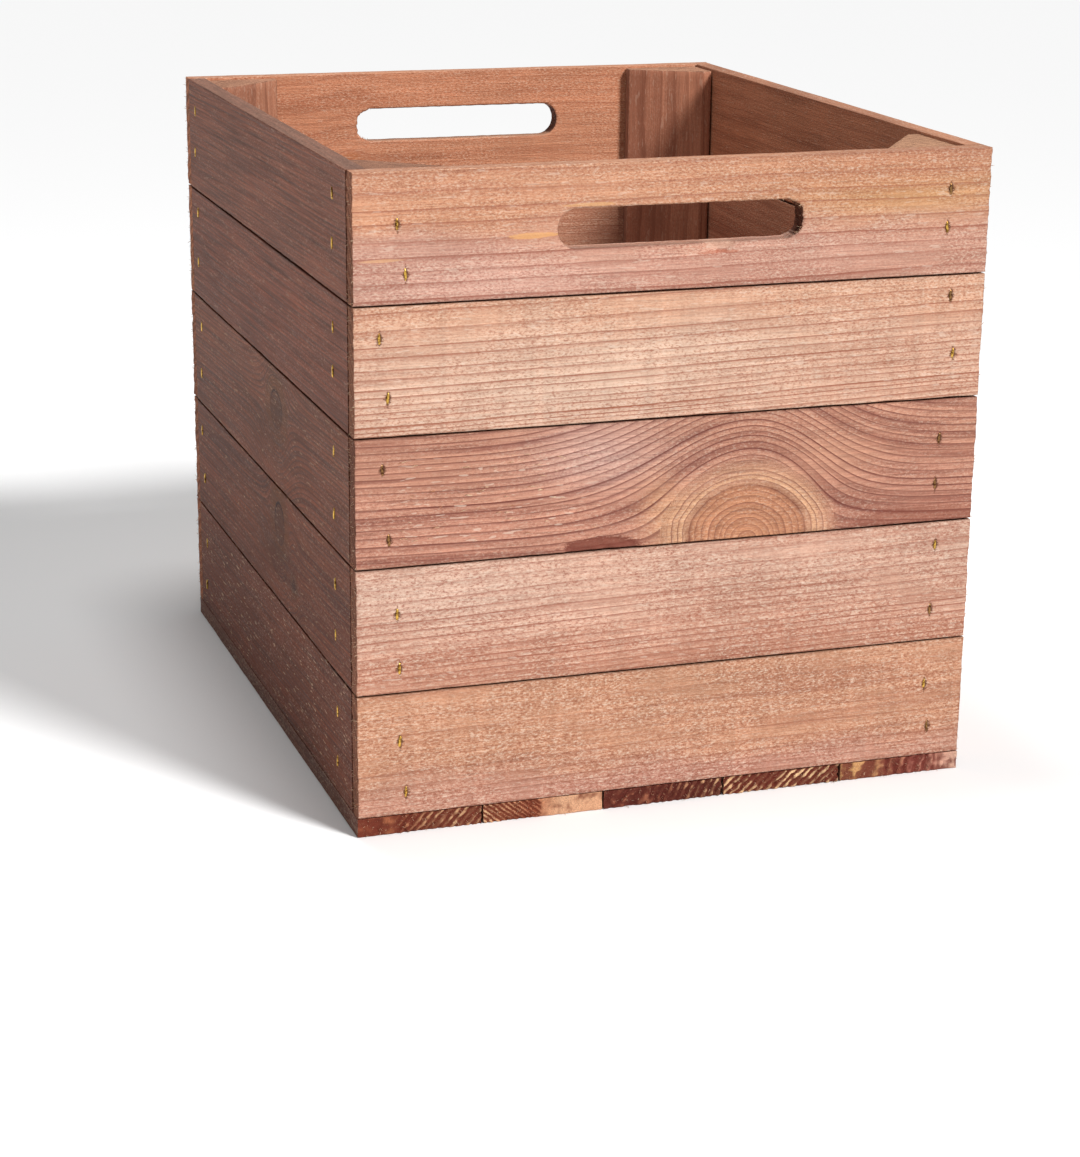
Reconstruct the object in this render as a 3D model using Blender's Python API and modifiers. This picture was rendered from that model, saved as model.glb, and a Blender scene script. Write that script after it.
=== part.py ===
"""An open-top slatted wooden crate, built board by board. Metres, +Z up.

Five boards stapled to triangular corner posts make each wall. The front and back
boards cover the ends of the side boards, and five slats nailed underneath make the
bottom. The origin is on the floor, under the middle of the crate. The front faces -Y.
"""

import math

import bmesh
import bpy
from mathutils import Matrix, Vector

# ---- driving dimensions ------------------------------------------------------------
WIDTH = 0.330                  # along X, over the front boards
DEPTH = 0.385                  # along Y, front face to back face
HEIGHT = 0.331                 # floor to rim
BOARD_THICKNESS = 0.010
SLAT_THICKNESS = 0.010
GAP = 0.0003                   # fit between pieces that touch
JOINT = 0.0009                 # the dark line between two boards of a wall
SAWN_EDGE = 0.0004             # broken arris on every sawn edge

# Heights above the floor where one wall board ends and the next begins.
WALL_JOINTS = (0.0742, 0.1387, 0.2039, 0.2677)
# Where one bottom slat ends and the next begins, measured from the left side.
SLAT_JOINTS = (0.0650, 0.1295, 0.1955, 0.2615)
SLAT_BACK_RECESS = 0.0015      # the slats stop short of the back face

# Handle slot, cut through the top front board and the top back board.
SLOT_LENGTH = 0.1272
SLOT_HEIGHT = 0.0196
SLOT_BELOW_RIM = 0.031         # rim to the slot's centre line

# Corner posts: a batten ripped diagonally, so its two legs differ from post to post.
POST_BLUNT = 0.006             # width left on each acute edge
POST_BELOW_RIM = 0.0012
POST_SIDE_GAP = 0.0008         # between a post and its side boards
POST_LEGS = {                  # (along the front or back, along the side)
    "front_left": (0.043, 0.038),
    "front_right": (0.040, 0.052),
    "back_left": (0.041, 0.036),
    "back_right": (0.046, 0.028),
}

# Narrow-crown staples of flat wire.
STAPLE_CROWN = 0.0062
STAPLE_LEG = 0.022
WIRE_WIDTH = 0.0012
WIRE_THICKNESS = 0.0010
STAPLE_SUNK = 0.0004           # crown below the wood's face
# (inset from the board's end, height above the floor), two to a board from the rim down.
FRONT_LEFT_STAPLES = (
    (0.022, 0.306), (0.026, 0.282), (0.013, 0.252), (0.017, 0.223), (0.014, 0.188),
    (0.017, 0.153), (0.021, 0.115), (0.022, 0.087), (0.022, 0.049), (0.025, 0.022),
)
FRONT_RIGHT_STAPLES = (
    (0.022, 0.311), (0.023, 0.292), (0.019, 0.257), (0.016, 0.227), (0.021, 0.183),
    (0.022, 0.159), (0.020, 0.126), (0.021, 0.091), (0.022, 0.050), (0.019, 0.026),
)
LEFT_SIDE_STAPLES = (
    (0.026, 0.316), (0.027, 0.292), (0.028, 0.251), (0.029, 0.229), (0.029, 0.189),
    (0.030, 0.157), (0.029, 0.121), (0.030, 0.094), (0.028, 0.054), (0.029, 0.027),
)

FACE_X = WIDTH / 2
FACE_Y = DEPTH / 2
INNER_X = FACE_X - BOARD_THICKNESS
INNER_Y = FACE_Y - BOARD_THICKNESS

# ---- colours of the pieces: (colour, roughness, metallic) ---------------------------
FRONT_WOOD = ((0.60, 0.33, 0.20, 1.0), 0.75, 0.0)
BACK_WOOD = ((0.55, 0.30, 0.17, 1.0), 0.75, 0.0)
SIDE_WOOD = ((0.26, 0.15, 0.10, 1.0), 0.80, 0.0)
SLAT_WOOD = ((0.22, 0.10, 0.07, 1.0), 0.85, 0.0)
POST_WOOD = ((0.45, 0.27, 0.18, 1.0), 0.80, 0.0)
STAPLE_STEEL = ((0.60, 0.45, 0.16, 1.0), 0.35, 1.0)


def clear_scene():
    for obj in list(bpy.data.objects):
        bpy.data.objects.remove(obj, do_unlink=True)


def new_collection(name):
    collection = bpy.data.collections.new(name)
    bpy.context.scene.collection.children.link(collection)
    return collection


def principled(name, look):
    colour, roughness, metallic = look
    material = bpy.data.materials.new(name)
    material.use_nodes = True
    shader = material.node_tree.nodes["Principled BSDF"]
    shader.inputs["Base Color"].default_value = colour
    shader.inputs["Roughness"].default_value = roughness
    shader.inputs["Metallic"].default_value = metallic
    material.diffuse_color = colour
    return material


clear_scene()
CRATE = new_collection("slatted_crate")
CUTTERS = new_collection("cutters")
ROOT = bpy.data.objects.new("slatted_crate_frame", None)
CRATE.objects.link(ROOT)


def mesh_object(name, bm, look, location=(0, 0, 0), turn=0.0):
    """Finish a bmesh as one named piece with its own material."""
    bmesh.ops.recalc_face_normals(bm, faces=bm.faces)
    mesh = bpy.data.meshes.new(name)
    bm.to_mesh(mesh)
    bm.free()
    obj = bpy.data.objects.new(name, mesh)
    obj.matrix_world = Matrix.Translation(location) @ Matrix.Rotation(turn, 4, "Z")
    obj.parent = ROOT
    mesh.materials.append(principled(name, look))
    CRATE.objects.link(obj)
    return obj


def cutter_object(name, bm):
    bmesh.ops.recalc_face_normals(bm, faces=bm.faces)
    mesh = bpy.data.meshes.new(name)
    bm.to_mesh(mesh)
    bm.free()
    obj = bpy.data.objects.new(name, mesh)
    obj.hide_render = True
    obj.display_type = "WIRE"
    CUTTERS.objects.link(obj)
    return obj


def box_bmesh(size):
    bm = bmesh.new()
    bmesh.ops.create_cube(bm, size=1.0, matrix=Matrix.Diagonal((*size, 1.0)))
    return bm


def board(name, low, high, look):
    """A sawn board between two opposite corners, its arrises just broken."""
    low, high = Vector(low), Vector(high)
    obj = mesh_object(name, box_bmesh(high - low), look, (low + high) / 2)
    bevel = obj.modifiers.new("sawn_edges", "BEVEL")
    bevel.width = SAWN_EDGE
    bevel.segments = 1
    return obj


def cut(obj, cutter):
    boolean = obj.modifiers.new("cut_" + cutter.name, "BOOLEAN")
    boolean.operation = "DIFFERENCE"
    boolean.solver = "EXACT"
    boolean.object = cutter


# ---- walls --------------------------------------------------------------------------
def wall_rows():
    """Bottom and top height of each board of a wall, from the rim down."""
    edges = (SLAT_THICKNESS + GAP - JOINT / 2, *WALL_JOINTS, HEIGHT + JOINT / 2)
    rows = [(low + JOINT / 2, high - JOINT / 2) for low, high in zip(edges, edges[1:])]
    return rows[::-1]


def end_wall(side, sign, look):
    """Front (sign -1) or back (sign +1) boards, running the full width."""
    face, inner = sorted((sign * FACE_Y, sign * INNER_Y))
    return [
        board(f"{side}_board_{number}", (-FACE_X, face, low), (FACE_X, inner, high), look)
        for number, (low, high) in enumerate(wall_rows(), 1)
    ]


def side_wall(side, sign, look):
    """Left (sign -1) or right (sign +1) boards, between the end walls."""
    face, inner = sorted((sign * FACE_X, sign * INNER_X))
    reach = INNER_Y - GAP
    return [
        board(f"{side}_board_{number}", (face, -reach, low), (inner, reach, high), look)
        for number, (low, high) in enumerate(wall_rows(), 1)
    ]


def slot_cutter(name, y):
    """A bar with round ends, as long and high as the handle slot."""
    bm = box_bmesh((SLOT_LENGTH, BOARD_THICKNESS * 2, SLOT_HEIGHT))
    ends = [e for e in bm.edges if abs(e.verts[0].co.y - e.verts[1].co.y) > BOARD_THICKNESS]
    bmesh.ops.bevel(
        bm, geom=ends, offset=SLOT_HEIGHT * 0.495, offset_type="OFFSET",
        segments=8, profile=0.5, affect="EDGES",
    )
    bmesh.ops.translate(bm, verts=bm.verts, vec=(0, y, HEIGHT - SLOT_BELOW_RIM))
    return cutter_object(name, bm)


# ---- bottom -------------------------------------------------------------------------
def bottom_slats():
    edges = (-JOINT / 2, *SLAT_JOINTS, WIDTH + JOINT / 2)
    for number, (left, right) in enumerate(zip(edges, edges[1:]), 1):
        board(
            f"bottom_slat_{number}",
            (left + JOINT / 2 - FACE_X, -FACE_Y, 0.0),
            (right - JOINT / 2 - FACE_X, FACE_Y - SLAT_BACK_RECESS, SLAT_THICKNESS),
            SLAT_WOOD,
        )


# ---- corner posts ---------------------------------------------------------------------
def corner_post(corner):
    """A batten standing in a corner, its inward edge sawn off on the diagonal."""
    along_end, along_side = POST_LEGS[corner]
    sign_x = 1 if "right" in corner else -1
    sign_y = 1 if "back" in corner else -1
    foot = SLAT_THICKNESS + GAP
    height = HEIGHT - POST_BELOW_RIM - foot
    bm = box_bmesh((along_end, along_side, height))
    inward = (-sign_x * (along_side - POST_BLUNT), -sign_y * (along_end - POST_BLUNT), 0)
    blunt_edge = (-sign_x * along_end / 2, sign_y * (along_side / 2 - POST_BLUNT), 0)
    sawn = bmesh.ops.bisect_plane(
        bm, geom=bm.verts[:] + bm.edges[:] + bm.faces[:],
        plane_co=blunt_edge, plane_no=inward, clear_outer=True,
    )
    rim = [item for item in sawn["geom_cut"] if isinstance(item, bmesh.types.BMEdge)]
    bmesh.ops.holes_fill(bm, edges=rim)
    centre = (
        sign_x * (INNER_X - POST_SIDE_GAP - along_end / 2),
        sign_y * (INNER_Y - GAP - along_side / 2),
        foot + height / 2,
    )
    return mesh_object("corner_post_" + corner, bm, POST_WOOD, centre)


# ---- staples --------------------------------------------------------------------------
def staple_bmesh(grow=0.0, proud=0.0):
    """A staple with its crown upright at the origin and its legs along +Y.

    grow thickens it all round, and proud carries the crown outwards, for a cutter.
    """
    length = STAPLE_CROWN + 2 * grow
    width = WIRE_WIDTH + 2 * grow
    leg = WIRE_THICKNESS + 2 * grow
    outer = -grow - proud
    inner = WIRE_THICKNESS + grow
    bm = box_bmesh((width, inner - outer, length))
    bmesh.ops.translate(bm, verts=bm.verts, vec=(0, (outer + inner) / 2, 0))
    for shoulder in (length / 2 - leg, leg - length / 2):
        bmesh.ops.bisect_plane(
            bm, geom=bm.verts[:] + bm.edges[:] + bm.faces[:],
            plane_co=(0, 0, shoulder), plane_no=(0, 0, 1),
        )
    bm.normal_update()
    roots = [
        face for face in bm.faces
        if face.normal.y > 0.9 and abs(face.calc_center_median().z) > length / 2 - leg
    ]
    legs = bmesh.ops.extrude_discrete_faces(bm, faces=roots)
    tips = {vert for face in legs["faces"] for vert in face.verts}
    bmesh.ops.translate(bm, verts=list(tips), vec=(0, STAPLE_LEG + grow - inner, 0))
    return bm


def staple_places(spots, wall):
    """World position and turn about Z of each staple in a column."""
    places = []
    for inset, height in spots:
        if wall == "left":
            spot = (STAPLE_SUNK - FACE_X, inset - FACE_Y, height)
            turn = -math.pi / 2
        else:
            edge = -1 if wall == "front_left" else 1
            spot = (edge * (FACE_X - inset), STAPLE_SUNK - FACE_Y, height)
            turn = 0.0
        places.append((spot, turn))
    return places


def staple_column(prefix, first, spots, wall):
    """Make the staples of a column, and the cutter for their slots in the wood."""
    cutter = bmesh.new()
    for number, (spot, turn) in enumerate(staple_places(spots, wall), first):
        mesh_object(f"{prefix}_{number:02d}", staple_bmesh(), STAPLE_STEEL, spot, turn)
        slot = staple_bmesh(GAP, BOARD_THICKNESS / 4)
        slot.transform(Matrix.Translation(spot) @ Matrix.Rotation(turn, 4, "Z"))
        piece = bpy.data.meshes.new("slot_piece")
        slot.to_mesh(piece)
        slot.free()
        cutter.from_mesh(piece)
        bpy.data.meshes.remove(piece)
    return cutter_object(wall + "_staple_slots", cutter)


# ---- the crate ------------------------------------------------------------------------
front = end_wall("front", -1, FRONT_WOOD)
back = end_wall("back", 1, BACK_WOOD)
left = side_wall("left", -1, SIDE_WOOD)
side_wall("right", 1, SIDE_WOOD)
bottom_slats()
posts = {corner: corner_post(corner) for corner in POST_LEGS}

wall_middle = (FACE_Y + INNER_Y) / 2
cut(front[0], slot_cutter("front_handle_slot", -wall_middle))
cut(back[0], slot_cutter("back_handle_slot", wall_middle))

front_left = staple_column("front_staple", 1, FRONT_LEFT_STAPLES, "front_left")
front_right = staple_column("front_staple", 11, FRONT_RIGHT_STAPLES, "front_right")
left_side = staple_column("left_staple", 1, LEFT_SIDE_STAPLES, "left")
for piece in front:
    cut(piece, front_left)
    cut(piece, front_right)
for piece in left:
    cut(piece, left_side)
cut(posts["front_left"], front_left)
cut(posts["front_left"], left_side)
cut(posts["front_right"], front_right)
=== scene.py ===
"""The looks of a slatted wooden crate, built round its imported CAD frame.

Every board, slat, post and staple gets a worn, grained piece of its own. Shapes are
worked out in millimetres in each piece's own axes: x along the grain, y across it,
and z outwards through the thickness.
"""

import itertools
import math
import random
from dataclasses import dataclass
from functools import partial

import bpy
import numpy as np
from mathutils import Euler, Matrix, Vector


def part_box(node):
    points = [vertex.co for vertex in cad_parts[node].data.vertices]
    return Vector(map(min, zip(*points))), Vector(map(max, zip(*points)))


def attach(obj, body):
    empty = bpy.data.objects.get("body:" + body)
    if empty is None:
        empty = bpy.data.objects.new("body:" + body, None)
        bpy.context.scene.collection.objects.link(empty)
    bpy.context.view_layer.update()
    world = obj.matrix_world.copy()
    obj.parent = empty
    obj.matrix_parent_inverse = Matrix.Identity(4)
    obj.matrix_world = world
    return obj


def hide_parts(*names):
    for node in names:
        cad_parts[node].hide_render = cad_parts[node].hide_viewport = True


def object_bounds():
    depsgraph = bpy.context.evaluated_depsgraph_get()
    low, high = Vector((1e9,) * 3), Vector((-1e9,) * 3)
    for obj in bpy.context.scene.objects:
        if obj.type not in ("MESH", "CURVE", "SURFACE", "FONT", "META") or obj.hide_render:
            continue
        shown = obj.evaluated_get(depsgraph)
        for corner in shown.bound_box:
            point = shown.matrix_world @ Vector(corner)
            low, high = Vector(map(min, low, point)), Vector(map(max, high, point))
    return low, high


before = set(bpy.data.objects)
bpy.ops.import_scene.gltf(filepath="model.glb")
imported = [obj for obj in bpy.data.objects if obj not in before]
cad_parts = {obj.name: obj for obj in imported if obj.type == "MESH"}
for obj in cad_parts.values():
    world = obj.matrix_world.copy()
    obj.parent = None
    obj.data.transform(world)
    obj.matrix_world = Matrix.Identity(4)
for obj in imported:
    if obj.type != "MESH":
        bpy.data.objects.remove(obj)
cad_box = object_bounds()

MM = 0.001
WALLS = ("front", "back", "left", "right")


# ---- smooth noise for shapes -------------------------------------------------------
NOISE_CELLS = 48
NOISE_TABLE = np.random.RandomState(11).rand(NOISE_CELLS, NOISE_CELLS, NOISE_CELLS)


def cloud(points, size, seed=0):
    """Smooth noise from -1 to 1 at (n, 3) points, with bumps about size mm apart."""
    cell = points / np.asarray(size, float) + seed * 7.31
    low = np.floor(cell).astype(int)
    part = cell - low
    part = part * part * (3 - 2 * part)
    total = np.zeros(len(points))
    for corner in itertools.product((0, 1), repeat=3):
        weight = np.prod(np.where(corner, part, 1 - part), axis=1)
        total += weight * NOISE_TABLE[tuple(((low + corner) % NOISE_CELLS).T)]
    return 2 * total - 1


def smooth(value, start, end):
    """0 before start, 1 after end, with a soft step between them."""
    part = np.clip((value - start) / (end - start), 0, 1)
    return part * part * (3 - 2 * part)


# ---- solids cut from a lattice -----------------------------------------------------
EDGE_LINES = (0, 0.3, 0.8, 1.6)  # lattice lines near each edge, in mm from it
EDGE_BAND = 2.2  # no other lines come this near an edge


def lattice_lines(length, step, fine=()):
    """Line positions from 0 to length, closer at the ends and in the fine spans."""
    count = max(2, round(length / step))
    lines = set(np.linspace(0, length, count + 1).round(3))
    for start, end, spacing in fine:
        start, end = max(start, 0), min(end, length)
        lines = {line for line in lines if not start - spacing / 2 < line < end + spacing / 2}
        lines |= set(np.linspace(start, end, max(2, round((end - start) / spacing)) + 1).round(3))
    lines = {line for line in lines if EDGE_BAND < line < length - EDGE_BAND}
    lines |= set(EDGE_LINES) | {length - value for value in EDGE_LINES}
    return np.array(sorted(lines))


def rectangle_outline(length, width):
    """How far each point lies inside a rectangle, and the direction inwards."""
    def outline(points):
        edges = np.stack([
            points[:, 0], length - points[:, 0], points[:, 1], width - points[:, 1],
        ])
        nearest = edges.argmin(axis=0)
        inward = np.array([(1, 0), (-1, 0), (0, 1), (0, -1)], float)[nearest]
        return edges.min(axis=0), inward
    return outline


def slotted_outline(length, width, slot):
    """A rectangle with a round-ended hand slot through it, rough at its right end."""
    plain = rectangle_outline(length, width)
    (left, right), middle, radius = slot

    def outline(points):
        distance, inward = plain(points)
        along = np.clip(points[:, 0], left + radius, right - radius)
        away = points - np.stack([along, np.full(len(points), middle)], axis=1)
        reach = np.maximum(np.linalg.norm(away, axis=1), 1e-6)
        flat = np.column_stack([points, np.zeros(len(points))])
        ragged = 0.15 + 0.75 * smooth(points[:, 0], right - 12, right)
        beyond = reach - radius - ragged * cloud(flat, (2.2, 1.6, 1), 3)
        use = beyond < distance
        inward = np.where(use[:, None], away / reach[:, None], inward)
        return np.where(use, beyond, distance), inward
    return outline


def lattice_solid(lines, outline):
    """Points, quads and outline flags of a solid of lattice cells inside an outline.

    lines holds the lattice positions along three axes. The outline lies in the first
    two, and the solid runs all the way along the third.
    """
    middles = [(axis[1:] + axis[:-1]) / 2 for axis in lines[:2]]
    grid = np.stack(np.meshgrid(*middles, indexing="ij"), axis=-1).reshape(-1, 2)
    kept = (outline(grid)[0] > 0).reshape(len(middles[0]), len(middles[1]))
    shape = tuple(len(axis) for axis in lines)
    solid = np.zeros(tuple(size + 1 for size in shape), int)
    solid[1:-1, 1:-1, 1:-1] = kept[:, :, None]
    quads, on_outline = [], []
    for axis in range(3):
        before, after = [slice(1, -1)] * 3, [slice(1, -1)] * 3
        before[axis] = slice(None, -1)
        after[axis] = slice(1, None)
        change = solid[tuple(before)] - solid[tuple(after)]
        step_a, step_b = np.eye(3, dtype=int)[[(axis + 1) % 3, (axis + 2) % 3]]
        for sign in (1, -1):
            cells = np.argwhere(change == sign)
            corners = [cells, cells + step_a, cells + step_a + step_b, cells + step_b]
            quads.append(np.stack(corners[::sign], axis=1))
            on_outline.append(np.full(len(cells), axis != 2))
    quads = np.concatenate(quads)
    flat = np.ravel_multi_index(quads.reshape(-1, 3).T, shape)
    used, faces = np.unique(flat, return_inverse=True)
    faces = faces.reshape(-1, 4)
    rim = np.zeros(len(used), bool)
    rim[faces[np.concatenate(on_outline)].ravel()] = True
    spots = np.unravel_index(used, shape)
    points = np.stack([axis[spot] for axis, spot in zip(lines, spots)], axis=1)
    for _ in range(2):
        gap, inward = outline(points[rim, :2])
        points[rim, :2] -= inward * gap[:, None]
    return points, faces, rim


def soften(first, second, radius):
    """Distances from two faces that meet, after the arris between them is rounded."""
    u = np.maximum(radius - first, 0)
    v = np.maximum(radius - second, 0)
    near = (u > 0) & (v > 0)
    length = np.maximum(np.hypot(u, v), 1e-9)
    rounded = radius / length
    return (
        np.where(near, radius - u * rounded, first),
        np.where(near, radius - v * rounded, second),
    )


def wear_edges(points, rim, outline, thickness, seed):
    """Round every arris by an amount that changes along it."""
    worn = 0.5 + 0.5 * cloud(points, (17, 17, 60), seed)
    nick = smooth(cloud(points, (6, 6, 30), seed + 1), 0.35, 0.8)
    radius = 0.15 + 0.5 * worn ** 2 + 0.5 * nick
    gap, inward = outline(points[:, :2])
    gap[rim] = 0
    z = points[:, 2]
    depth = np.minimum(z, thickness - z)
    new_gap, new_depth = soften(gap, depth, radius)
    points[:, :2] += inward * (new_gap - gap)[:, None]
    z += np.where(z < thickness / 2, 1, -1) * (new_depth - depth)


def new_object(name, data):
    obj = bpy.data.objects.new(name, data)
    bpy.context.scene.collection.objects.link(obj)
    return obj


def make_piece(name, points, faces, place, material):
    """A smooth-shaded object from points in mm."""
    mesh = bpy.data.meshes.new(name)
    mesh.from_pydata(points * MM, [], faces, shade_flat=False)
    mesh.validate()
    mesh.materials.append(material)
    piece = new_object(name, mesh)
    piece.matrix_world = place
    return piece


# ---- where each piece lies ---------------------------------------------------------
# The world directions of each wall's own x, y and z.
AXES = {
    "front": ((1, 0, 0), (0, 0, 1), (0, -1, 0)),
    "back": ((-1, 0, 0), (0, 0, 1), (0, 1, 0)),
    "left": ((0, -1, 0), (0, 0, 1), (-1, 0, 0)),
    "right": ((0, 1, 0), (0, 0, 1), (1, 0, 0)),
    "bottom": ((0, 1, 0), (1, 0, 0), (0, 0, -1)),
    "post": ((0, 0, 1), (1, 0, 0), (0, 1, 0)),
}


def place_of(node, side):
    """The matrix of a node's own axes and its three sizes in mm."""
    low, high = (Vector(corner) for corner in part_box(node))
    axes = [Vector(axis) for axis in AXES[side]]
    origin = Vector([
        low[i] if sum(axis[i] for axis in axes) > 0 else high[i] for i in range(3)
    ])
    place = Matrix([axes[0], axes[1], axes[2]]).transposed().to_4x4()
    place.translation = origin
    sizes = [abs(axis.dot(high - low)) / MM for axis in axes]
    return place, sizes


def to_world(points, place):
    """Points in mm in a piece's own axes, in mm in the world's."""
    return points @ np.array(place.to_3x3()).T + np.array(place.translation) / MM


# ---- staples -----------------------------------------------------------------------
CROWN, WIRE, FLAT = 6.2, 1.4, 0.9  # the crown's length, and the wire's two sizes
SLAT_STAPLES = (5.2, 377.5)  # how far along a slat its two rows of staples are
# (inset from the wall's end, height above the floor) in mm, from the rim down.
LEFT_COLUMN = (
    (22, 306), (26, 282), (13, 252), (17, 223), (14, 188),
    (17, 153), (21, 115), (22, 87), (22, 49), (25, 22),
)
RIGHT_COLUMN = (
    (22, 311), (23, 292), (19, 257), (16, 227), (21, 183),
    (22, 159), (20, 126), (21, 91), (22, 50), (19, 26),
)
SIDE_NEAR_COLUMN = (
    (26, 316), (27, 292), (28, 251), (29, 229), (29, 189),
    (30, 157), (29, 121), (30, 94), (28, 54), (29, 27),
)
SIDE_FAR_COLUMN = (
    (17, 314), (14, 290), (18, 255), (15, 225), (19, 187),
    (16, 158), (13, 122), (17, 93), (18, 52), (15, 25),
)


def wall_spots(side, length):
    """Each staple's place on a wall, from its left end as seen from outside."""
    left, right = {
        "front": (LEFT_COLUMN, RIGHT_COLUMN),
        "back": (RIGHT_COLUMN, LEFT_COLUMN),
        "left": (SIDE_FAR_COLUMN, SIDE_NEAR_COLUMN),
        "right": (SIDE_NEAR_COLUMN, SIDE_FAR_COLUMN),
    }[side]
    return [*left, *((length - inset, height) for inset, height in right)]


def slat_spots(width, seed):
    """Two staples at each end of a slat, into the edge of the end wall above it."""
    draw = random.Random(seed)
    spots = []
    for end in SLAT_STAPLES:
        for share in (0.25, 0.75):
            spots.append((end + draw.uniform(-0.8, 0.8), width * share + draw.uniform(-5, 5)))
    return spots


# ---- looks of the wood -------------------------------------------------------------
@dataclass
class Knot:
    """A knot with its halo of turned grain: wide and tall are the halo's half sizes.

    core is the knot's own share of the halo. reach says how far the grain is pushed
    aside on its left and right, and gap is the spacing of its rings.
    """
    x: float
    y: float
    wide: float
    tall: float
    core: float = 0.7
    reach: tuple = (60.0, 60.0)
    gap: float = 2.6
    ink: tuple = (186, 124, 92)
    halo: tuple = (220, 158, 112)
    rim: tuple = (134, 78, 56)
    rim_ink: float = 0.8


@dataclass
class Look:
    """One piece's wood. Lengths are in mm, colours in 0 to 255.

    Pairs are the values at the piece's low and high edge. fleck_zone is a left, right,
    bottom and top. Each dent is such a zone and its depth, each streak a zone, a colour
    and an amount, each sheen-and-stain patch a centre, two reaches, a colour and an
    amount: some patches are painted sheen highlights, the others paler or darker stain.
    Each ridge of a broken end is a start, a stop, a spacing, a lean and a depth, which
    also sets how dark its troughs are painted as shade.
    """
    low: tuple  # the stain low on the piece, and high on it
    high: tuple
    line: tuple  # the ring lines' colour
    seed: int
    blend: tuple = (0.5, 0.3)  # where low gives way to high, and how softly
    gaps: tuple = (5.0, 5.0)  # between the ring lines
    lines: tuple = (0.8, 0.5)  # how strong the ring lines are
    line_width: float = 1.0
    steady: float = 0.3  # how alike the ring lines are
    slope: float = 0.0
    tilt: float = 0.6  # how the rings lean through the thickness
    wander: float = 2.0
    band: float = 0.5  # tone from ring to ring
    band_ink: tuple = None
    speck: float = 0.5
    fleck: float = 0.2
    fleck_zone: tuple = None
    fleck_ink: tuple = (250, 226, 206)
    contrast: float = 1.0
    chatter: float = 0.5  # saw marks
    scratch: float = 0.0
    dents: tuple = ()
    end: tuple = None  # the sawn ends' colour, or
    ends: tuple = ()  # their shares of the width and colours
    # the dark colour of a sawn end: its ring stripes, and the painted shade in the troughs and hollows
    # of a broken end
    end_ink: tuple = (84, 42, 32)
    end_pits: tuple = (0.35, 0.95)  # depths where a broken end is painted dark, as shade in its hollows
    # how dark a broken end's hollows are painted, as painted shade
    end_stripe: float = 0.75
    ridges: tuple = ()
    knots: tuple = ()
    streaks: tuple = ()
    # painted sheen highlights and patches of stain
    glows: tuple = ()
    rim_ink: tuple = None  # the upper edge's colour


def linear(colour):
    """A 0 to 255 display colour as linear RGBA."""
    shares = [value / 255 for value in colour]
    return tuple(
        share / 12.92 if share <= 0.04045 else ((share + 0.055) / 1.055) ** 2.4
        for share in shares
    ) + (1.0,)


def math_node(operation, swapped=False):
    """A method that joins a signal and other values in a Math node."""
    def method(self, *others):
        values = (*others, self) if swapped else (self, *others)
        return self.graph.math(operation, *values)
    return method


class Signal:
    """A shader value that takes part in sums: each operator adds a Math node."""
    __add__ = math_node("ADD")
    __radd__ = math_node("ADD", swapped=True)
    __sub__ = math_node("SUBTRACT")
    __rsub__ = math_node("SUBTRACT", swapped=True)
    __mul__ = math_node("MULTIPLY")
    __truediv__ = math_node("DIVIDE")
    __rtruediv__ = math_node("DIVIDE", swapped=True)
    __pow__ = math_node("POWER")
    size = math_node("ABSOLUTE")
    highest = math_node("MAXIMUM")
    lowest = math_node("MINIMUM")

    def __init__(self, graph, socket):
        self.graph, self.socket = graph, socket

    def __neg__(self):
        return self * -1.0

    def step(self, start, end, low=0.0, high=1.0):
        """A soft step from low, at start, to high, at end."""
        return self.graph.add(
            "ShaderNodeMapRange",
            {"Value": self, "From Min": start, "From Max": end, "To Min": low, "To Max": high},
            interpolation_type="SMOOTHSTEP",
        )


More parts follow.
